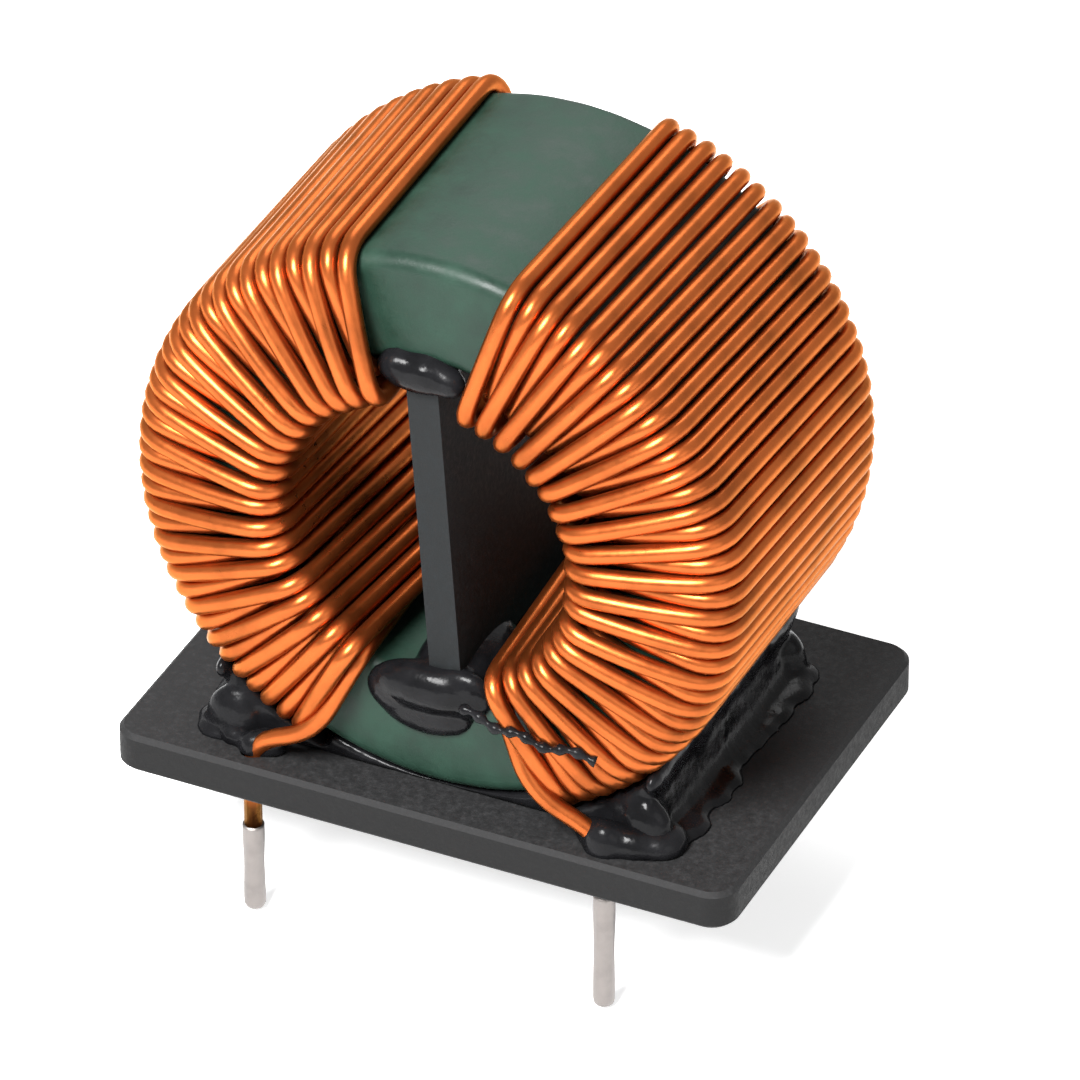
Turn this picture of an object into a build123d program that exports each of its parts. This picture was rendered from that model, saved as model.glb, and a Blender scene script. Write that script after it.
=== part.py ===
from build123d import *
import os
from math import cos, radians, sin, sqrt

# Base plate, lying on the board
BASE_WIDTH = 28.0
BASE_DEPTH = 19.6
BASE_THICKNESS = 1.8
BASE_CORNER_RADIUS = 1.2
BASE_EDGE_CHAMFER = 0.2

# Ferrite ring standing on edge, measured over its green coating
CORE_OUTER_DIAMETER = 25.4
CORE_WALL = 4.9
CORE_LENGTH = 14.0
CORE_EDGE_CHAMFER = 0.5
BOND_LINE = 0.15
COIL_OFFSET = -0.8

# Enamelled wire and how far round the ring each winding reaches
WIRE_DIAMETER = 0.8
WIRE_SIDES = 7
WIRE_CLEARANCE = 0.03
TURN_GAP = 0.05
FACE_LIFT_SHARE = 1.28
END_TURN_SHARE = 0.5
TOP_GAP_ANGLE = 33.0
BOTTOM_GAP_ANGLE = 34.0

# Wire ends through the base, tinned below it
LEAD_SPACING_X = 16.0
LEAD_EDGE_DISTANCE = 1.2
LEAD_LENGTH = 6.2
LEAD_HOLE_CLEARANCE = 0.1
SOLDER_THICKNESS = 0.06
SOLDER_FIT = 0.005
SOLDER_TIP_CHAMFER = 0.2
SOLDER_START = 0.5
SOLDER_START_FRONT_LEFT = 1.9
ENAMEL_END = 2.5

# Divider plate that stands in the bore, leaning a little to the left
DIVIDER_THICKNESS = 1.4
DIVIDER_END_GAP = 0.15
DIVIDER_LEAN = 4.0

# Black adhesive under the ring and at the front of the divider
ADHESIVE_FOOT_WIDTH = 23.2
ADHESIVE_CLIMB_ANGLE = 45.0
ADHESIVE_SAG = 0.6
ADHESIVE_INSET = 0.2
GLUE_FIT = 0.02
GLUE_DEPTH_SHARE = 0.5
GLUE_FILL_HEIGHT = 1.5
GLUE_WIRE_GAP = 0.1
GLUE_DOME_SHARE = 1.16
GLUE_DOME_HEIGHT = 0.8

# Where the ring stands
CORE_RADIUS = CORE_OUTER_DIAMETER / 2
BORE_RADIUS = CORE_RADIUS - CORE_WALL
AXIS_HEIGHT = BASE_THICKNESS + BOND_LINE + CORE_RADIUS
FACE_Y = CORE_LENGTH / 2

# Lines along which the middle of the wire runs
WIRE_OFFSET = WIRE_DIAMETER / 2 + WIRE_CLEARANCE
LAYER_STEP = WIRE_DIAMETER + WIRE_CLEARANCE
OUTER_RUN_RADIUS = CORE_RADIUS + WIRE_OFFSET
BORE_RUN_RADII = [BORE_RADIUS - WIRE_OFFSET, BORE_RADIUS - WIRE_OFFSET - LAYER_STEP]
FACE_RUN_YS = [FACE_Y + WIRE_OFFSET, FACE_Y + WIRE_OFFSET + FACE_LIFT_SHARE * LAYER_STEP]
BEND_SETBACK = CORE_EDGE_CHAMFER + (2 - sqrt(2)) * WIRE_OFFSET
LEAD_SETBACK = WIRE_OFFSET
LEAD_RUN_HEIGHT = BASE_THICKNESS + LEAD_SETBACK + WIRE_DIAMETER / 4

# Two layers of turns share the bore, so each layer takes every second step
FIRST_ANGLE = BOTTOM_GAP_ANGLE / 2 - 90
WINDING_SPAN = 180 - (BOTTOM_GAP_ANGLE + TOP_GAP_ANGLE) / 2
BORE_ARC = radians(WINDING_SPAN) * BORE_RUN_RADII[1]
LAYER_TURNS = int(BORE_ARC / (WIRE_DIAMETER + TURN_GAP) - END_TURN_SHARE)
STEP_ANGLE = WINDING_SPAN / (2 * LAYER_TURNS + 1)
LAST_STEP = 2 * LAYER_TURNS - 1
MIDDLE_OF_LAST_RUN = -0.5

# Places of the wire ends
LEAD_SPACING_Y = BASE_DEPTH - 2 * LEAD_EDGE_DISTANCE
LEAD_X = LEAD_SPACING_X / 2
LEAD_Y = LEAD_SPACING_Y / 2
SOLDER_RADIUS = WIRE_DIAMETER / 2 + SOLDER_FIT + SOLDER_THICKNESS


def ring_point(radius, angle, y):
    """A point at a radius and angle round the ring's axis."""
    turn = radians(angle)
    return Vector(radius * cos(turn), y, AXIS_HEIGHT + radius * sin(turn))


def ring_cylinder(radius, length):
    """A cylinder on the ring's axis, half of its length to each side."""
    ring_plane = Plane(origin=(0, 0, AXIS_HEIGHT), x_dir=(1, 0, 0), z_dir=(0, -1, 0))
    return ring_plane * Cylinder(radius, length)


def step_angle(step):
    """Angle of one step of the right-hand winding, counted up from the bottom."""
    return FIRST_ANGLE + (step + 2) * STEP_ANGLE


def make_base():
    """Flat plate with rounded corners and a hole for each wire end."""
    plate = extrude(RectangleRounded(BASE_WIDTH, BASE_DEPTH, BASE_CORNER_RADIUS), BASE_THICKNESS)
    rims = plate.faces().sort_by(Axis.Z)[-1].edges() + plate.faces().sort_by(Axis.Z)[0].edges()
    plate = chamfer(rims, BASE_EDGE_CHAMFER)
    hole = extrude(Circle(WIRE_DIAMETER / 2 + LEAD_HOLE_CLEARANCE), BASE_THICKNESS)
    return plate - GridLocations(LEAD_SPACING_X, LEAD_SPACING_Y, 2, 2) * hole


def make_core():
    """Coated ring with its four edges broken."""
    ring = ring_cylinder(CORE_RADIUS, CORE_LENGTH) - ring_cylinder(BORE_RADIUS, CORE_LENGTH)
    return chamfer(ring.edges().filter_by(GeomType.CIRCLE), CORE_EDGE_CHAMFER)


def bore_run(front_step, back_step, layer):
    """Wire through the bore from the front to the back."""
    radius = BORE_RUN_RADII[layer]
    front = ring_point(radius, step_angle(front_step), -FACE_RUN_YS[layer])
    back = ring_point(radius, step_angle(back_step), FACE_RUN_YS[layer])
    return [front, back]


def outer_run(back_step, front_step):
    """Wire over the outside of the ring from the back to the front."""
    back = ring_point(OUTER_RUN_RADIUS, step_angle(back_step), FACE_RUN_YS[0])
    front = ring_point(OUTER_RUN_RADIUS, step_angle(front_step), -FACE_RUN_YS[0])
    return [back, front]


def lead_run(step, side):
    """Wire from its end below the base to the foot of a face run."""
    angle = step_angle(step)
    foot_radius = (LEAD_RUN_HEIGHT - AXIS_HEIGHT) / sin(radians(angle))
    lead_y = side * LEAD_Y - COIL_OFFSET
    end = Vector(LEAD_X, lead_y, -ENAMEL_END)
    bend = Vector(LEAD_X, lead_y, LEAD_RUN_HEIGHT)
    return [end, bend, ring_point(foot_radius, angle, side * FACE_RUN_YS[0])]


def winding_corners():
    """Corners of one wire: up the ring in the first layer and down again in the second."""
    corners = lead_run(0, -1)
    for turn in range(LAYER_TURNS):
        step = 2 * turn
        corners += bore_run(step, step + 1, 0)
        turns_back = turn == LAYER_TURNS - 1
        corners += outer_run(step + 1, step + 1 if turns_back else step + 2)
    for turn in range(LAYER_TURNS):
        step = LAST_STEP - 2 * turn
        corners += bore_run(step, step - 3, 1)
        if turn < LAYER_TURNS - 1:
            corners += outer_run(step - 3, step - 2)
    return corners + lead_run(-2, 1)[::-1]


def eased(corners):
    """The same line with each corner cut off, as the wire bends there."""
    path = [corners[0]]
    for before, corner, after in zip(corners, corners[1:], corners[2:]):
        on_base = corner.Z < LEAD_RUN_HEIGHT + WIRE_CLEARANCE
        setback = LEAD_SETBACK if on_base else BEND_SETBACK
        path.append(corner + (before - corner).normalized() * setback)
        path.append(corner + (after - corner).normalized() * setback)
    return path + [corners[-1]]


def make_winding():
    """Right-hand winding with both of its ends, one wire throughout."""
    line = Polyline(*eased(winding_corners()))
    section = Plane(origin=line @ 0, z_dir=line % 0) * RegularPolygon(WIRE_DIAMETER / 2, WIRE_SIDES)
    return sweep(section, path=line, transition=Transition.RIGHT)


def make_solder_tip(side_x, side_y, start):
    """Stripped and tinned end of a wire, with a socket for the enamelled stretch."""
    tip = extrude(Circle(SOLDER_RADIUS), LEAD_LENGTH - start)
    tip = chamfer(tip.faces().sort_by(Axis.Z)[0].edges(), SOLDER_TIP_CHAMFER)
    socket = extrude(Circle(WIRE_DIAMETER / 2 + SOLDER_FIT), ENAMEL_END - start)
    tip -= Pos(0, 0, LEAD_LENGTH - ENAMEL_END) * socket
    return Pos(side_x * LEAD_X, side_y * LEAD_Y, -LEAD_LENGTH) * tip


def make_divider():
    """Flat plate across the bore, its edges flush with the ring's faces."""
    half_thickness = DIVIDER_THICKNESS / 2
    reach = sqrt((BORE_RADIUS - DIVIDER_END_GAP) ** 2 - half_thickness ** 2)
    plate = Box(DIVIDER_THICKNESS, CORE_LENGTH, 2 * reach)
    return Pos(0, 0, AXIS_HEIGHT) * Rot(0, -DIVIDER_LEAN, 0) * plate


def make_base_adhesive():
    """Bed of adhesive under the ring, with hollow sides that climb to the windings."""
    wound_radius = OUTER_RUN_RADIUS + WIRE_OFFSET
    climb = radians(ADHESIVE_CLIMB_ANGLE)
    top_x = wound_radius * sin(climb)
    top_z = AXIS_HEIGHT - wound_radius * cos(climb)
    foot_x = ADHESIVE_FOOT_WIDTH / 2
    middle_x = (foot_x + top_x) / 2 - ADHESIVE_SAG
    middle_z = (BASE_THICKNESS + top_z) / 2 - ADHESIVE_SAG
    right_side = ThreePointArc((foot_x, BASE_THICKNESS), (middle_x, middle_z), (top_x, top_z))
    left_side = ThreePointArc((-foot_x, BASE_THICKNESS), (-middle_x, middle_z), (-top_x, top_z))
    foot = Line((-foot_x, BASE_THICKNESS), (foot_x, BASE_THICKNESS))
    top = Line((-top_x, top_z), (top_x, top_z))
    profile = make_face(Curve() + [foot, right_side, top, left_side])
    bed = extrude(Plane.XZ * profile, FACE_Y - ADHESIVE_INSET, both=True)
    bare = radians(90 + step_angle(0)) - wound_step()
    wedge_half = CORE_OUTER_DIAMETER * sin(bare)
    wedge_low = AXIS_HEIGHT - CORE_OUTER_DIAMETER * cos(bare)
    wedge_corners = [(0, AXIS_HEIGHT), (-wedge_half, wedge_low), (wedge_half, wedge_low)]
    wedge = make_face(Polyline(*wedge_corners, close=True))
    bare_sector = extrude(Plane.XZ * wedge, CORE_LENGTH, both=True)
    bed -= ring_cylinder(CORE_RADIUS + GLUE_FIT, CORE_LENGTH)
    bed -= ring_cylinder(wound_radius, CORE_LENGTH) - bare_sector
    sleeve = make_lead_sleeve()
    return bed - sleeve - mirror(sleeve, about=Plane.YZ)


def make_lead_sleeve():
    """Room that the front wire end of the right-hand winding needs beside the adhesive."""
    line = Polyline(*lead_run(0, -1))
    section = Plane(origin=line @ 0, z_dir=line % 0) * Circle(WIRE_OFFSET)
    return sweep(section, path=line, transition=Transition.RIGHT)


def wound_step():
    """Angle that half of a wire and its clearance take up on the outside of the ring."""
    return (WIRE_OFFSET + WIRE_CLEARANCE) / CORE_RADIUS


def bore_half_gap(step):
    """Half of the free width in the bore between the inner wires of both windings at a step."""
    wire_x = BORE_RUN_RADII[1] * cos(radians(step_angle(step)))
    return wire_x - WIRE_DIAMETER / 2 - GLUE_WIRE_GAP


def make_divider_glue(up, half_width, core, divider):
    """Glue at one end of the divider: a fill in the bore and a dome over its front."""
    dome_radius = half_width * GLUE_DOME_SHARE
    depth = CORE_LENGTH * GLUE_DEPTH_SHARE
    fill = Box(2 * half_width, depth, GLUE_FILL_HEIGHT)
    fill_z = AXIS_HEIGHT + up * (BORE_RADIUS - GLUE_FILL_HEIGHT / 2)
    fill = Pos(0, depth / 2 - FACE_Y, fill_z) * fill
    fill &= ring_cylinder(BORE_RADIUS - GLUE_FIT, CORE_LENGTH)
    ball_radius = (dome_radius ** 2 + GLUE_DOME_HEIGHT ** 2) / (2 * GLUE_DOME_HEIGHT)
    ball_y = ball_radius - GLUE_DOME_HEIGHT - FACE_Y
    foot = BORE_RADIUS * sin(radians(DIVIDER_LEAN))
    ball = Pos(-up * foot, ball_y, AXIS_HEIGHT + up * BORE_RADIUS) * Sphere(ball_radius)
    dome = split(ball, bisect_by=Plane.XZ.offset(FACE_Y), keep=Keep.TOP)
    return fill + dome - core - divider


def save(shape, name):
    """Write one piece."""
    export_step(shape, os.path.join("parts", name + ".step"))


os.makedirs("parts", exist_ok=True)
core = make_core()
divider = make_divider()
winding = make_winding()
bottom_glue = make_divider_glue(-1, bore_half_gap(MIDDLE_OF_LAST_RUN), core, divider)
top_glue = make_divider_glue(1, bore_half_gap(LAST_STEP), core, divider)

# The coil is drawn about its own middle and then set on the base
coil_place = Pos(0, COIL_OFFSET, 0)
save(coil_place * core, "toroid_core")
save(coil_place * winding, "winding_right")
save(coil_place * mirror(winding, about=Plane.YZ), "winding_left")
save(coil_place * divider, "divider_plate")
save(coil_place * make_base_adhesive(), "base_adhesive")
save(coil_place * bottom_glue, "divider_glue_bottom")
save(coil_place * top_glue, "divider_glue_top")

save(make_base(), "base_plate")
save(make_solder_tip(-1, -1, SOLDER_START_FRONT_LEFT), "solder_tip_front_left")
save(make_solder_tip(1, -1, SOLDER_START), "solder_tip_front_right")
save(make_solder_tip(-1, 1, SOLDER_START), "solder_tip_rear_left")
save(make_solder_tip(1, 1, SOLDER_START), "solder_tip_rear_right")
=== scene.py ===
import random
from math import copysign, cos, pi, radians, sin

import bmesh
import bpy
from mathutils import Matrix, Vector, noise


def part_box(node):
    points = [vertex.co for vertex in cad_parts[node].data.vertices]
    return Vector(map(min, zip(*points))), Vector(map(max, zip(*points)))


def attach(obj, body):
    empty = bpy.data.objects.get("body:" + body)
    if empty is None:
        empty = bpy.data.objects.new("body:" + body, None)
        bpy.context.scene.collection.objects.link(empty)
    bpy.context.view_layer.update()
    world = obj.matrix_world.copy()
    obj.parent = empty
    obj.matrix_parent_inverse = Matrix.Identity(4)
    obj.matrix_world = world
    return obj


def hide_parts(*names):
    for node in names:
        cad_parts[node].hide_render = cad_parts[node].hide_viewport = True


bl_info = {
    "name": "Toroidal choke",
    "version": (1, 0, 0),
    "blender": (4, 2, 0),
    "location": "View3D > Sidebar > Choke",
    "description": "Dresses a ring choke: wire, coated ring, base plate, adhesive and tinned ends",
    "category": "Object",
}

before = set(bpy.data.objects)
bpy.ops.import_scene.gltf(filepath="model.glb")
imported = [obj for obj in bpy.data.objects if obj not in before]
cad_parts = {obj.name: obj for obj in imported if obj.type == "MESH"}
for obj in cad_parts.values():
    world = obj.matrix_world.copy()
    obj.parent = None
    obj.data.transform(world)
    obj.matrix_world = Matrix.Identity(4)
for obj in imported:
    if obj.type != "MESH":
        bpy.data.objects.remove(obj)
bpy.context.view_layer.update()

MM = 0.001
CORE_LOW, CORE_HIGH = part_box("toroid_core")
LEAD_LOW, LEAD_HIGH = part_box("solder_tip_front_right")
AXIS_HEIGHT = (CORE_LOW[2] + CORE_HIGH[2]) / 2
CORE_RADIUS = (CORE_HIGH[0] - CORE_LOW[0]) / 2
COIL_Y = (CORE_LOW[1] + CORE_HIGH[1]) / 2
FACE_Y = (CORE_HIGH[1] - CORE_LOW[1]) / 2
BORE_RADIUS = 7.8 * MM
BASE_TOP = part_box("base_plate")[1][2]
LEAD_X = (LEAD_LOW[0] + LEAD_HIGH[0]) / 2
LEAD_Y = (LEAD_LOW[1] + LEAD_HIGH[1]) / 2
LEAD_TIP = LEAD_LOW[2]
ENAMEL_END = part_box("winding_right")[0][2]
LIP_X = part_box("base_adhesive")[1][0] - 1.85 * MM


class ChokeWinding(bpy.types.PropertyGroup):
    wire: bpy.props.FloatProperty(
        name="Wire", description="Thickness of the enamelled wire",
        default=0.78 * MM, unit="LENGTH")
    clearance: bpy.props.FloatProperty(
        name="Clearance", description="Gap between the wire and what it lies on",
        default=0.03 * MM, unit="LENGTH")
    layer_turns: bpy.props.IntProperty(
        name="Turns a layer", description="Turns of each of the two layers in the bore",
        default=19, min=2)
    bottom_gap: bpy.props.FloatProperty(
        name="Bottom gap", description="Bare angle of the ring at the bottom",
        default=radians(34), subtype="ANGLE")
    top_gap: bpy.props.FloatProperty(
        name="Top gap", description="Bare angle of the ring at the top",
        default=radians(33), subtype="ANGLE")
    bore_radius: bpy.props.FloatProperty(
        name="Bore radius", description="Radius of the bare bore",
        default=BORE_RADIUS, unit="LENGTH")
    bend: bpy.props.FloatProperty(
        name="Bend", description="How far before a corner the wire starts to bend",
        default=1.4 * MM, unit="LENGTH")
    bow: bpy.props.FloatProperty(
        name="Bow", description="How far the wire stands off the ring's faces half-way",
        default=0.22 * MM, unit="LENGTH")
    lift: bpy.props.FloatProperty(
        name="Lift", description="How far the second layer stands over the first at the bore",
        default=1.06 * MM, unit="LENGTH")
    unevenness: bpy.props.FloatProperty(
        name="Unevenness", description="How far a turn strays from its place",
        default=radians(0.3), subtype="ANGLE")
    colour: bpy.props.FloatVectorProperty(
        name="Colour", description="Colour of the copper seen through its enamel",
        default=(0.31, 0.073, 0.0175), size=3, subtype="COLOR", min=0, max=1)


class ChokeRing(bpy.types.PropertyGroup):
    edge: bpy.props.FloatProperty(
        name="Edge", description="Radius of the coated edges", default=0.7 * MM, unit="LENGTH")
    colour: bpy.props.FloatVectorProperty(
        name="Colour", description="Colour of the coating",
        default=(0.0088, 0.0232, 0.0156), size=3, subtype="COLOR", min=0, max=1)


class ChokePlates(bpy.types.PropertyGroup):
    base_colour: bpy.props.FloatVectorProperty(
        name="Base colour", description="Colour of the base plate",
        default=(0.0115, 0.0115, 0.0119), size=3, subtype="COLOR", min=0, max=1)
    divider_colour: bpy.props.FloatVectorProperty(
        name="Divider colour", description="Colour of the divider",
        default=(0.005, 0.006, 0.0065), size=3, subtype="COLOR", min=0, max=1)


class ChokeAdhesive(bpy.types.PropertyGroup):
    grain: bpy.props.FloatProperty(
        name="Grain", description="Size of the cells that the blobs are merged in",
        default=0.16 * MM, unit="LENGTH")
    draw_in: bpy.props.FloatProperty(
        name="Draw-in", description="Share by which the bed's feet shrink back as they cure",
        default=0.5, min=0, max=1, subtype="FACTOR")
    colour: bpy.props.FloatVectorProperty(
        name="Colour", description="Colour of the cured adhesive",
        default=(0.004, 0.004, 0.0045), size=3, subtype="COLOR", min=0, max=1)


class ChokeSolder(bpy.types.PropertyGroup):
    colour: bpy.props.FloatVectorProperty(
        name="Colour", description="Colour of the tinned ends",
        default=(0.18, 0.165, 0.157), size=3, subtype="COLOR", min=0, max=1)


class ChokeStage(bpy.types.PropertyGroup):
    azimuth: bpy.props.FloatProperty(
        name="Azimuth", description="Turn of the camera about the upright axis",
        default=radians(25), subtype="ANGLE")
    elevation: bpy.props.FloatProperty(
        name="Elevation", description="Height of the camera above the horizon",
        default=radians(34.5), subtype="ANGLE")
    distance: bpy.props.FloatProperty(
        name="Distance", description="Distance from the camera to the aim",
        default=0.4, unit="LENGTH")
    aim: bpy.props.FloatVectorProperty(
        name="Aim", description="Point in the middle of the picture",
        default=(0.00143, -0.00072, 0.01017), size=3, subtype="TRANSLATION")
    frame_width: bpy.props.FloatProperty(
        name="Frame width", description="Width of the view at the aim",
        default=44.3 * MM, unit="LENGTH")


def ring_point(radius, angle, y):
    """A point at a radius and an angle round the ring's axis."""
    return Vector((radius * cos(angle), COIL_Y + y, AXIS_HEIGHT + radius * sin(angle)))


def add_mesh(name, verts, faces, smooth=True):
    """A mesh object made from its corners and faces."""
    mesh = bpy.data.meshes.new(name)
    mesh.from_pydata(verts, [], faces)
    mesh.update()
    mesh.polygons.foreach_set("use_smooth", [smooth] * len(mesh.polygons))
    obj = bpy.data.objects.new(name, mesh)
    bpy.context.scene.collection.objects.link(obj)
    return obj


def finish_piece(obj, material, slot, *nodes):
    """Gives a piece its material, and has it stand for its solids."""
    obj.data.materials.clear()
    obj.data.materials.append(material)
    if nodes:
        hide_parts(*nodes)
    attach(obj, "root")
    return obj


def tube(name, points, radius, sides=12):
    """A round bar along a line of points, closed at both ends."""
    verts, faces = [], []
    ahead = (points[1] - points[0]).normalized()
    across = ahead.orthogonal().normalized()
    for i, point in enumerate(points):
        before = points[max(i - 1, 0)]
        after = points[min(i + 1, len(points) - 1)]
        direction = (after - before).normalized()
        across = (across - direction * across.dot(direction)).normalized()
        up = direction.cross(across)
        size = radius(i) if callable(radius) else radius
        for k in range(sides):
            turn = 2 * pi * k / sides
            verts.append(point + (across * cos(turn) + up * sin(turn)) * size)
    for i in range(len(points) - 1):
        for k in range(sides):
            right = (k + 1) % sides
            low, high = i * sides, (i + 1) * sides
            faces.append((low + k, low + right, high + right, high + k))
    faces.append(tuple(reversed(range(sides))))
    faces.append(tuple(range(len(verts) - sides, len(verts))))
    return add_mesh(name, verts, faces)


def rounded(corners, bend, steps=6):
    """A line through corners with each one rounded off."""
    line = [corners[0]]
    for before, corner, after in zip(corners, corners[1:], corners[2:]):
        back, forward = before - corner, after - corner
        near = corner + back.normalized() * min(bend, back.length * 0.45)
        far = corner + forward.normalized() * min(bend, forward.length * 0.45)
        for i in range(steps + 1):
            t = i / steps
            line.append(near * (1 - t) ** 2 + corner * 2 * t * (1 - t) + far * t ** 2)
    return line + [corners[-1]]


class WindingLine:
    """The line that the middle of one wire follows, up one layer and down the next."""

    def __init__(self, settings, seed):
        self.settings = settings
        self.chance = random.Random(seed)
        offset = settings.wire / 2 + settings.clearance
        layer = settings.wire + settings.clearance
        self.outer = CORE_RADIUS + offset
        self.bore = [settings.bore_radius - offset, settings.bore_radius - offset - layer]
        self.face = [FACE_Y + offset, FACE_Y + offset + settings.lift]
        self.span = pi - (settings.bottom_gap + settings.top_gap) / 2
        self.steps = 2 * settings.layer_turns + 1

    def angle(self, step):
        """Angle round the ring of a step, counted from the first turn at the bottom."""
        return self.settings.bottom_gap / 2 - pi / 2 + self.span * (step + 2) / self.steps

    def spread(self, step, last):
        """Place of a turn at the back, where the highest ones share out a spare step."""
        return last - 0.4 if step == last else step + 0.6 * (max(step, 0) / (last - 2)) ** 6

    def stray(self, most=1.0):
        """A small angle by which a turn misses its place."""
        return self.chance.uniform(-1, 1) * self.settings.unevenness * most

    def bore_run(self, front, back, layer):
        """Run through the bore from front to back; the second layer lies less evenly."""
        radius = self.bore[layer] - self.chance.uniform(0, 0.12 * MM) * layer
        y_front = self.face[layer] + self.chance.uniform(-0.1 * MM, 0.16 * MM) * layer
        y_back = self.face[layer] + self.chance.uniform(-0.1 * MM, 0.16 * MM) * layer
        return [ring_point(radius, self.angle(front) + self.stray(1.6), -y_front),
                ring_point(radius, self.angle(back) + self.stray(1.6), y_back)]

    def outer_run(self, back, front):
        """Run over the outside of the ring from back to front."""
        return [ring_point(self.outer, self.angle(back) + self.stray(0.5), self.face[0]),
                ring_point(self.outer, self.angle(front) + self.stray(0.5), -self.face[0])]

    def lead_run(self, side):
        """Wire end from below the base, up through its hole and over to the ring's face."""
        lead_y = side * abs(LEAD_Y)
        end = Vector((LEAD_X, lead_y, ENAMEL_END))
        hole = Vector((LEAD_X, lead_y, BASE_TOP + self.settings.wire * 0.6))
        angle = self.angle(0 if side < 0 else -2)
        reach = (BASE_TOP + 2.2 * MM - AXIS_HEIGHT) / sin(angle)
        return [end, hole, ring_point(reach, angle, side * (self.face[0] + self.settings.wire))]

    def face_run(self, here, there):
        """The middle of a run over one of the faces, which bows away from it."""
        side = 1 if here.y > COIL_Y else -1
        bow = self.settings.bow * self.chance.uniform(0.7, 1.3)
        return [(here + there) / 2 + Vector((0, side * bow, 0))]

    def corners(self):
        """All corners of the wire, from the front lead to the rear one."""
        last = 2 * self.settings.layer_turns - 1
        runs = []
        for step in range(0, last, 2):
            back = self.spread(step + 1, last)
            runs.append(self.bore_run(step, back, 0))
            runs.append(self.outer_run(back, min(step + 2, last)))
        for step in range(last, 0, -2):
            back = self.spread(step - 3, last)
            runs.append(self.bore_run(step, back, 1))
            runs.append(self.outer_run(back, step - 2))
        line = self.lead_run(-1)
        for run, following in zip(runs, runs[1:]):
            line += run + self.face_run(run[1], following[0])
        line.pop()
        return line + self.lead_run(1)[::-1]


def new_material(name, **values):
    """A material with a principled shader, and the tree, shader and shaded point."""
    material = bpy.data.materials.new(name)
    material.use_nodes = True
    tree = material.node_tree
    shader = tree.nodes["Principled BSDF"]
    for key, value in values.items():
        shader.inputs[key.replace("_", " ")].default_value = value
    point = tree.nodes.new("ShaderNodeTexCoord").outputs["Object"]
    return material, tree, shader, point


def add_noise(tree, point, size, detail=3.0, roughness=0.55):
    """Noise whose lumps have a size in metres."""
    node = tree.nodes.new("ShaderNodeTexNoise")
    node.inputs["Scale"].default_value = 1 / size
    node.inputs["Detail"].default_value = detail
    node.inputs["Roughness"].default_value = roughness
    tree.links.new(point, node.inputs["Vector"])
    return node.outputs["Fac"]


def add_ramp(tree, value, *stops):
    """A colour ramp with (place, colour) stops."""
    node = tree.nodes.new("ShaderNodeValToRGB")
    ramp = node.color_ramp
    while len(ramp.elements) < len(stops):
        ramp.elements.new(1.0)
    for element, (place, colour) in zip(ramp.elements, stops):
        element.position = place
        element.color = (*colour, 1)
    tree.links.new(value, node.inputs["Fac"])
    return node.outputs["Color"]


def add_range(tree, value, low, high, start=0.3, end=0.7):
    """A value mapped from a part of its range to low and high."""
    node = tree.nodes.new("ShaderNodeMapRange")
    for key, number in (("From Min", start), ("From Max", end), ("To Min", low), ("To Max", high)):
        node.inputs[key].default_value = number
    tree.links.new(value, node.inputs["Value"])
    return node.outputs["Result"]


def add_bump(tree, shader, height, depth, strength=1.0, before=None):
    """A bump of a depth in metres, after another bump if there is one."""
    node = tree.nodes.new("ShaderNodeBump")
    node.inputs["Strength"].default_value = strength
    node.inputs["Distance"].default_value = depth
    tree.links.new(height, node.inputs["Height"])
    if before:
        tree.links.new(before.outputs["Normal"], node.inputs["Normal"])
    tree.links.new(node.outputs["Normal"], shader.inputs["Normal"])
    return node


def shades(colour, *levels):
    """A colour at several brightness levels."""
    return [tuple(min(1.0, part * level) for part in colour) for level in levels]


def enamel_material(colour):
    """Copper wire under a glossy enamel, with painted shade on the wire ends below the base."""
    material, tree, shader, point = new_material(
        "enamelled_copper", Metallic=0.92, Specular_Tint=(1.0, 0.73, 0.5, 1))
    dark, middle, light = shades(colour, 0.7, 1.0, 1.14)
    patch = add_noise(tree, point, 2.6 * MM, detail=4.0)
    unshaded_colour = add_ramp(tree, patch, (0.3, dark), (0.5, middle), (0.72, light))
    # Painted shade: below the base plate the enamel colour is mixed towards a very dark copper, standing
    # in for the base's shadow on the wire ends.
    apart = tree.nodes.new("ShaderNodeSeparateXYZ")
    tree.links.new(point, apart.inputs["Vector"])
    under_base_shade = tree.nodes.new("ShaderNodeMixRGB")
    under_base_shade.inputs["Color2"].default_value = (*shades(colour, 0.09)[0], 1)
    below = add_range(tree, apart.outputs["Z"], 0.95, 0.0, -0.9 * MM, 0.2 * MM)
    tree.links.new(below, under_base_shade.inputs["Fac"])
    tree.links.new(unshaded_colour, under_base_shade.inputs["Color1"])
    tree.links.new(under_base_shade.outputs["Color"], shader.inputs["Base Color"])
    fine = add_noise(tree, point, 0.5 * MM)
    tree.links.new(add_range(tree, fine, 0.27, 0.37), shader.inputs["Roughness"])
    add_bump(tree, shader, add_noise(tree, point, 0.35 * MM, detail=2.0), 0.012 * MM, 0.5)
    return material


def coating_material(colour):
    """Satin green epoxy with a fine orange peel and paler scuffs."""
    material, tree, shader, point = new_material("core_coating", Specular_IOR_Level=0.16)
    dark, middle, light = shades(colour, 0.72, 1.0, 1.42)
    patch = add_noise(tree, point, 1.6 * MM, detail=6.0, roughness=0.65)
    tree.links.new(add_ramp(tree, patch, (0.28, dark), (0.5, middle), (0.76, light)),
                   shader.inputs["Base Color"])
    tree.links.new(add_range(tree, patch, 0.34, 0.56), shader.inputs["Roughness"])
    peel = add_bump(tree, shader, add_noise(tree, point, 0.7 * MM), 0.04 * MM, 0.5)
    add_bump(tree, shader, add_noise(tree, point, 0.16 * MM), 0.012 * MM, 0.5, peel)
    return material


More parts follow.
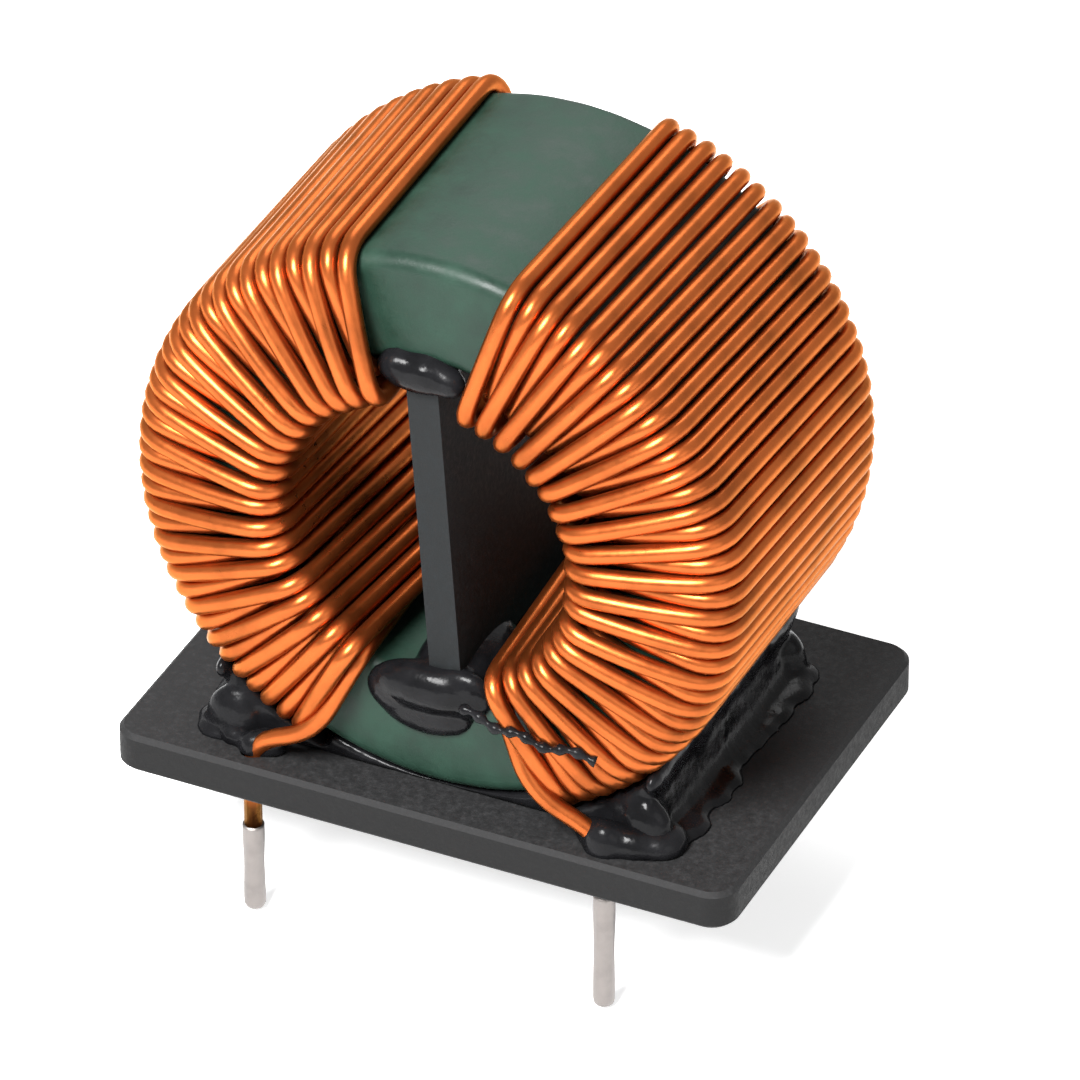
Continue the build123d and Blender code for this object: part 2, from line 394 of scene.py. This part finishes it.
def board_material(name, colour, roughness, side_shade_level):
    """Dull black board with a fine grain and pale specks, and painted shade on its upright sides."""
    material, tree, shader, point = new_material(name, Specular_IOR_Level=0.17)
    grain = add_noise(tree, point, 0.24 * MM, detail=5.0, roughness=0.7)
    places, levels = (0.3, 0.52, 0.74), (0.6, 1.0, 1.9)
    face = add_ramp(tree, grain, *zip(places, shades(colour, *levels)))
    # Painted shade: a darker copy of the grain colours goes on the faces that do not point up, mixed in
    # by the height of the true normal.
    side = add_ramp(tree, grain, *zip(places, shades(shades(colour, side_shade_level)[0], *levels)))
    surface = tree.nodes.new("ShaderNodeNewGeometry")
    facing = tree.nodes.new("ShaderNodeSeparateXYZ")
    tree.links.new(surface.outputs["True Normal"], facing.inputs["Vector"])
    side_shade_mix = tree.nodes.new("ShaderNodeMixRGB")
    tree.links.new(add_range(tree, facing.outputs["Z"], 0.0, 1.0), side_shade_mix.inputs["Fac"])
    tree.links.new(side, side_shade_mix.inputs["Color1"])
    tree.links.new(face, side_shade_mix.inputs["Color2"])
    tree.links.new(side_shade_mix.outputs["Color"], shader.inputs["Base Color"])
    tree.links.new(add_range(tree, grain, roughness - 0.12, roughness + 0.12), shader.inputs["Roughness"])
    broad = add_bump(tree, shader, add_noise(tree, point, 1.8 * MM), 0.05 * MM, 0.5)
    add_bump(tree, shader, grain, 0.03 * MM, 0.8, broad)
    return material


def glue_material(colour):
    """Glossy black adhesive with soft ripples and a few duller patches."""
    material, tree, shader, point = new_material("black_glue", Specular_IOR_Level=0.08)
    dark, light = shades(colour, 0.7, 1.7)
    patch = add_noise(tree, point, 1.5 * MM, detail=4.0)
    tree.links.new(add_ramp(tree, patch, (0.35, dark), (0.7, light)), shader.inputs["Base Color"])
    tree.links.new(add_range(tree, patch, 0.13, 0.3), shader.inputs["Roughness"])
    add_bump(tree, shader, add_noise(tree, point, 0.9 * MM), 0.1 * MM, 0.45)
    return material


def solder_material(colour):
    """Dull solder with faint streaks."""
    material, tree, shader, point = new_material("tin", Metallic=1.0)
    dark, middle, light = shades(colour, 0.84, 1.0, 1.14)
    patch = add_noise(tree, point, 0.8 * MM, detail=4.0)
    tree.links.new(add_ramp(tree, patch, (0.3, dark), (0.5, middle), (0.72, light)),
                   shader.inputs["Base Color"])
    tree.links.new(add_range(tree, patch, 0.4, 0.58), shader.inputs["Roughness"])
    add_bump(tree, shader, add_noise(tree, point, 0.3 * MM), 0.03 * MM, 0.5)
    return material


class CHOKE_OT_windings(bpy.types.Operator):
    """Winds the two wires round the ring, each with both of its ends"""
    bl_idname = "choke.windings"
    bl_label = "Windings"

    def execute(self, context):
        settings = context.scene.choke_winding
        material = enamel_material(settings.colour)
        for side, name in ((1, "winding_right"), (-1, "winding_left")):
            line = WindingLine(settings, 7 if side > 0 else 19)
            points = rounded(line.corners(), settings.bend)
            points = [Vector((side * p.x, p.y, p.z)) for p in points]
            wire = tube(name + "_wire", points, settings.wire / 2)
            finish_piece(wire, material, "enamelled_copper", name)
        return {"FINISHED"}


class CHOKE_OT_ring(bpy.types.Operator):
    """Turns the coated ring with rounded edges"""
    bl_idname = "choke.ring"
    bl_label = "Ring"

    def execute(self, context):
        settings = context.scene.choke_ring
        winding = context.scene.choke_winding
        profile = self.profile(winding.bore_radius, CORE_RADIUS, settings.edge)
        verts, faces = [], []
        around = 256
        count = len(profile)
        for i in range(around):
            angle = 2 * pi * i / around
            for radius, y in profile:
                point = ring_point(radius, angle, y)
                lump = noise.noise(point / (1.9 * MM)) * 0.025 * MM
                verts.append(ring_point(radius - abs(lump), angle, y * (1 - abs(lump) / FACE_Y)))
        for i in range(around):
            low, high = i * count, (i + 1) % around * count
            for k in range(count):
                nxt = (k + 1) % count
                faces.append((low + k, low + nxt, high + nxt, high + k))
        ring = add_mesh("coated_ring", verts, faces)
        finish_piece(ring, coating_material(settings.colour), "core_coating", "toroid_core")
        return {"FINISHED"}

    def profile(self, inner, outer, edge, bends=6, runs=8):
        """Section of the ring as (radius, y), with rounded corners."""
        points = []
        centres = ((outer - edge, FACE_Y - edge, 0), (inner + edge, FACE_Y - edge, 90),
                   (inner + edge, edge - FACE_Y, 180), (outer - edge, edge - FACE_Y, 270))
        for radius, y, start in centres:
            for i in range(bends + 1):
                turn = radians(start + 90 * i / bends)
                points.append((radius + edge * cos(turn), y + edge * sin(turn)))
        closed = []
        for here, there in zip(points, points[1:] + points[:1]):
            gap = abs(here[0] - there[0]) + abs(here[1] - there[1])
            cuts = runs if gap > edge else 1
            for i in range(cuts):
                closed.append(tuple(a + (b - a) * i / cuts for a, b in zip(here, there)))
        return closed


class CHOKE_OT_plates(bpy.types.Operator):
    """Gives the base plate and the divider their dull black grain"""
    bl_idname = "choke.plates"
    bl_label = "Plates"

    def execute(self, context):
        settings = context.scene.choke_plates
        # The last number of each row darkens the plate's upright sides as painted shade; 1.0 leaves them
        # as they are.
        finishes = (("base_plate", settings.base_colour, 0.72, 0.35),
                    ("divider_plate", settings.divider_colour, 0.7, 1.0))
        for node, colour, roughness, side_shade_level in finishes:
            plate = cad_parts[node]
            plate.data.materials.clear()
            plate.data.materials.append(board_material(node, colour, roughness, side_shade_level))
        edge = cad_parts["divider_plate"].modifiers.new("worn_edges", "BEVEL")
        edge.width = 0.15 * MM
        edge.segments = 3
        return {"FINISHED"}


class CHOKE_OT_adhesive(bpy.types.Operator):
    """Pours the black adhesive under the ring, at the divider and round two wire ends"""
    bl_idname = "choke.adhesive"
    bl_label = "Adhesive"

    def execute(self, context):
        settings = context.scene.choke_adhesive
        self.grain = settings.grain
        self.draw_in = settings.draw_in
        material = glue_material(settings.colour)
        bed = self.merge("adhesive_bed", "base_adhesive", self.bed_skirt())
        finish_piece(bed, material, "black_glue", "base_adhesive")
        bottom = self.merge("divider_glue_low", None, self.low_drops())
        finish_piece(bottom, material, "black_glue", "divider_glue_bottom")
        top = self.merge("divider_glue_high", None, self.high_drops())
        finish_piece(top, material, "black_glue", "divider_glue_top")
        dabs = self.merge("lead_glue", None, self.lead_drops())
        finish_piece(dabs, material, "black_glue")
        thread = tube("black_thread", self.thread(), lambda i: (0.19 + 0.07 * sin(i * 1.3)) * MM, 10)
        finish_piece(thread, material, "black_glue")
        return {"FINISHED"}

    def bed_skirt(self):
        """Drops along the feet, lips and ends of the bed, where it wets the base and the wires."""
        chance = random.Random(3)
        half_length = 6.7 * MM
        drops = []
        for side in (-1, 1):
            for i in range(24):
                y = COIL_Y - half_length + i * 0.58 * MM
                reach = LIP_X + chance.uniform(0.0, 0.5) * MM
                width, length = chance.uniform(1.0, 1.3), chance.uniform(1.0, 1.4)
                size = Vector((width, length, chance.uniform(0.3, 0.5))) * MM
                drops.append((Vector((side * reach, y, BASE_TOP)), size))
                lip = Vector((side * LIP_X, y, BASE_TOP + chance.uniform(2.7, 3.3) * MM))
                length = chance.uniform(0.6, 1.1)
                drops.append((lip, Vector((0.35, length, chance.uniform(0.5, 0.9))) * MM))
            for end in (-1, 1):
                corner = Vector((side * 9.3 * MM, COIL_Y + end * half_length, BASE_TOP + 0.6 * MM))
                drops.append((corner, Vector((1.3, 0.8, 1.6)) * MM))
        return drops

    def placed(self, height, shapes):
        """Drops from (across, back from the ring's front face, up) places and half sizes in mm."""
        start = Vector((0, COIL_Y - FACE_Y, height))
        return [(start + Vector(place) * MM, Vector(size) * MM) for place, size in shapes]

    def low_drops(self):
        """Puddle at the divider's foot: over the ring's front face and some way into the bore."""
        return self.placed(AXIS_HEIGHT - BORE_RADIUS, (
            ((-0.3, 0, 0), (2.5, 0.9, 1.1)),
            ((-0.4, 0, -1.2), (2.2, 0.5, 1.2)),
            ((-1.6, 0, -0.5), (1.5, 0.6, 1.3)),
            ((1.3, 0, 0.1), (1.4, 0.6, 1.2)),
            ((0.3, 2.4, 0.15), (1.9, 3.2, 1.25)),
            ((-0.2, 4.4, 0), (1.5, 2.8, 0.85))))

    def high_drops(self):
        """Blob between the divider's top and the ring, which runs back along the bore."""
        return self.placed(AXIS_HEIGHT + BORE_RADIUS - 0.4 * MM, (
            ((-0.6, 0, 0), (1.9, 0.7, 0.9)),
            ((-1.5, 0, 0.2), (0.9, 0.75, 0.8)),
            ((0.7, 0, -0.1), (0.8, 0.6, 0.7)),
            ((-0.3, 2.4, 0.3), (1.4, 3.2, 1.05)),
            ((-0.1, 4.4, 0.4), (1.2, 2.8, 0.8))))

    def lead_drops(self):
        """Dabs on the base where the two front wire ends go in."""
        drops = []
        for side, size in ((1, 1.2), (-1, 0.75)):
            middle = Vector((side * LEAD_X, LEAD_Y, BASE_TOP + 0.2 * MM))
            shapes = (((0, 0, 0), (size * 0.8, size * 0.7, size)),
                      ((side * -0.6, 0.3, 0.2), (0.9, 0.6, 0.75)),
                      ((side * 1.0, 0.5, 0), (size, size * 0.8, size * 0.8)),
                      ((side * 2.0, 1.1, 0), (size, size, size * 0.7)))
            drops += [(middle + Vector(place) * MM, Vector(reach) * MM) for place, reach in shapes]
        return drops

    def thread(self):
        """Line of a thin black string laid across the right-hand winding, along a dark line there."""
        front = COIL_Y - FACE_Y
        start = Vector((1.9 * MM, front - 1.5 * MM, AXIS_HEIGHT - 7.3 * MM))
        end = Vector((7.8 * MM, front - 1.25 * MM, AXIS_HEIGHT - 8.2 * MM))
        count = 40
        line = []
        for i in range(count + 1):
            share = i / count
            lie = Vector((0, -0.35 * sin(pi * share), 0.12 * sin(share * 17)))
            line.append(start.lerp(end, share) + lie * MM)
        return line

    def merge(self, name, node, drops):
        """One skin over drops, and over a solid with its feet drawn in if there is one."""
        joined = bmesh.new()
        if node:
            joined.from_mesh(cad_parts[node].data)
            bmesh.ops.transform(joined, matrix=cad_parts[node].matrix_world, verts=joined.verts)
            for vert in joined.verts:
                beyond = max(0.0, abs(vert.co.x) - LIP_X)
                vert.co.x -= copysign(beyond * self.draw_in, vert.co.x)
        for centre, size in drops:
            place = Matrix.LocRotScale(centre, None, size)
            bmesh.ops.create_icosphere(joined, subdivisions=4, radius=1.0, matrix=place)
        mesh = bpy.data.meshes.new(name)
        joined.to_mesh(mesh)
        joined.free()
        obj = bpy.data.objects.new(name, mesh)
        bpy.context.scene.collection.objects.link(obj)
        skin = obj.modifiers.new("skin", "REMESH")
        skin.mode = "VOXEL"
        skin.voxel_size = self.grain
        skin.use_smooth_shade = True
        soft = obj.modifiers.new("soft", "SMOOTH")
        soft.factor = 0.5
        soft.iterations = 16
        flat = bpy.data.meshes.new_from_object(obj.evaluated_get(bpy.context.evaluated_depsgraph_get()))
        obj.modifiers.clear()
        obj.data = flat
        for vert in flat.vertices:
            vert.co.z = max(vert.co.z, BASE_TOP)
        return obj


class CHOKE_OT_solder(bpy.types.Operator):
    """Tins the four wire ends"""
    bl_idname = "choke.solder"
    bl_label = "Tinned ends"

    def execute(self, context):
        material = solder_material(context.scene.choke_solder.colour)
        for name in ("front_left", "front_right", "rear_left", "rear_right"):
            node = "solder_tip_" + name
            low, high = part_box(node)
            middle = Vector(((low[0] + high[0]) / 2, (low[1] + high[1]) / 2, 0))
            most = (high[0] - low[0]) / 2
            length = high[2] - low[2]
            rows = 28
            shares = [i / rows for i in range(rows + 1)]
            points = [middle + Vector((0, 0, low[2] + length * share)) for share in shares]
            sizes = [self.radius(share, most, length) for share in shares]
            tip = tube("tinned_" + name, points, lambda i: sizes[i], 24)
            finish_piece(tip, material, "tin", node)
        return {"FINISHED"}

    def radius(self, share, most, length):
        """Radius along a tinned end: a round tip, then a slightly wavy shank."""
        height = share * length
        tip = 0.32 * MM
        size = most * (0.97 + 0.03 * sin(share * 9))
        if height < tip:
            return size * max(0.35, (1 - (1 - height / tip) ** 2) ** 0.5)
        return size


class CHOKE_OT_stage(bpy.types.Operator):
    """Sets up the pale floor, the soft lamps and the camera"""
    bl_idname = "choke.stage"
    bl_label = "Stage"

    def execute(self, context):
        self.floor()
        self.world(context.scene)
        self.lamp("key_light", (-0.03, -0.22, 0.26), 0.14, 4.2)
        self.lamp("fill_light", (0.26, -0.14, 0.14), 0.2, 0.16)
        self.lamp("back_light", (-0.06, 0.2, 0.26), 0.2, 0.45)
        self.camera(context.scene)
        context.scene.view_settings.view_transform = "Standard"
        return {"FINISHED"}

    def floor(self):
        """Pale floor that the leads' tips stand on, as bright as the background."""
        size = 3.0
        z = LEAD_TIP - 0.05 * MM
        corners = [(-size, -size, z), (size, -size, z), (size, size, z), (-size, size, z)]
        floor = add_mesh("floor", corners, [(0, 1, 2, 3)], smooth=False)
        material = bpy.data.materials.new("pale_floor")
        material.use_nodes = True
        tree = material.node_tree
        shader = tree.nodes["Principled BSDF"]
        shader.inputs["Base Color"].default_value = (0.86, 0.86, 0.86, 1)
        shader.inputs["Roughness"].default_value = 0.9
        shader.inputs["Emission Color"].default_value = (1, 1, 1, 1)
        glow = self.seen_strength(tree, 0.0, 0.7)
        tree.links.new(glow, shader.inputs["Emission Strength"])
        floor.data.materials.append(material)

    def world(self, scene):
        """White background with a weaker light."""
        world = scene.world or bpy.data.worlds.new("studio")
        scene.world = world
        world.use_nodes = True
        tree = world.node_tree
        background = tree.nodes["Background"]
        background.inputs["Color"].default_value = (1, 1, 1, 1)
        tree.links.new(self.seen_strength(tree, 0.2, 1.0), background.inputs["Strength"])

    def seen_strength(self, tree, unseen, seen):
        """A strength for what is seen, also in metal and glass, and another for what only lights."""
        path = tree.nodes.new("ShaderNodeLightPath")
        total = path.outputs["Is Camera Ray"]
        for ray in ("Is Glossy Ray", "Is Transmission Ray"):
            add = tree.nodes.new("ShaderNodeMath")
            add.operation = "ADD"
            add.use_clamp = True
            tree.links.new(total, add.inputs[0])
            tree.links.new(path.outputs[ray], add.inputs[1])
            total = add.outputs["Value"]
        return add_range(tree, total, unseen, seen, 0.0, 1.0)

    def lamp(self, name, place, size, power):
        """Round soft lamp that points at the ring's axis."""
        light = bpy.data.lights.new(name, "AREA")
        light.shape = "DISK"
        light.size = size
        light.energy = power
        lamp = bpy.data.objects.new(name, light)
        lamp.location = place
        aim = Vector((0, 0, AXIS_HEIGHT)) - Vector(place)
        lamp.rotation_euler = aim.to_track_quat("-Z", "Y").to_euler()
        bpy.context.scene.collection.objects.link(lamp)

    def camera(self, scene):
        """Camera at the stage's angles, whose view is as wide as the stage says."""
        settings = scene.choke_stage
        data = bpy.data.cameras.new("camera")
        data.sensor_width = 36
        data.lens = data.sensor_width * settings.distance / settings.frame_width
        data.clip_start = 0.01
        camera = bpy.data.objects.new("camera", data)
        level = cos(settings.elevation)
        turn = settings.azimuth
        back = Vector((sin(turn) * level, -cos(turn) * level, sin(settings.elevation)))
        camera.location = Vector(settings.aim) + back * settings.distance
        camera.rotation_euler = back.to_track_quat("Z", "Y").to_euler()
        bpy.context.scene.collection.objects.link(camera)
        scene.camera = camera


class CHOKE_PT_panel(bpy.types.Panel):
    """Lists the pieces of the choke and their sizes"""
    bl_idname = "CHOKE_PT_panel"
    bl_label = "Choke"
    bl_space_type = "VIEW_3D"
    bl_region_type = "UI"
    bl_category = "Choke"

    def draw(self, context):
        for operator in OPERATORS:
            self.layout.operator(operator.bl_idname)
        for name in GROUPS:
            group = getattr(context.scene, name)
            box = self.layout.box()
            for key in group.__annotations__:
                box.prop(group, key)


GROUPS = {
    "choke_winding": ChokeWinding,
    "choke_ring": ChokeRing,
    "choke_plates": ChokePlates,
    "choke_adhesive": ChokeAdhesive,
    "choke_solder": ChokeSolder,
    "choke_stage": ChokeStage,
}
OPERATORS = [CHOKE_OT_windings, CHOKE_OT_ring, CHOKE_OT_plates,
             CHOKE_OT_adhesive, CHOKE_OT_solder, CHOKE_OT_stage]


def register():
    for cls in [*GROUPS.values(), *OPERATORS, CHOKE_PT_panel]:
        bpy.utils.register_class(cls)
    for name, cls in GROUPS.items():
        setattr(bpy.types.Scene, name, bpy.props.PointerProperty(type=cls))


def unregister():
    for name in GROUPS:
        delattr(bpy.types.Scene, name)
    for cls in reversed([*GROUPS.values(), *OPERATORS, CHOKE_PT_panel]):
        bpy.utils.unregister_class(cls)


def main():
    register()
    bpy.ops.choke.windings()
    bpy.ops.choke.ring()
    bpy.ops.choke.plates()
    bpy.ops.choke.adhesive()
    bpy.ops.choke.solder()
    bpy.ops.choke.stage()


if __name__ == "__main__":
    main()
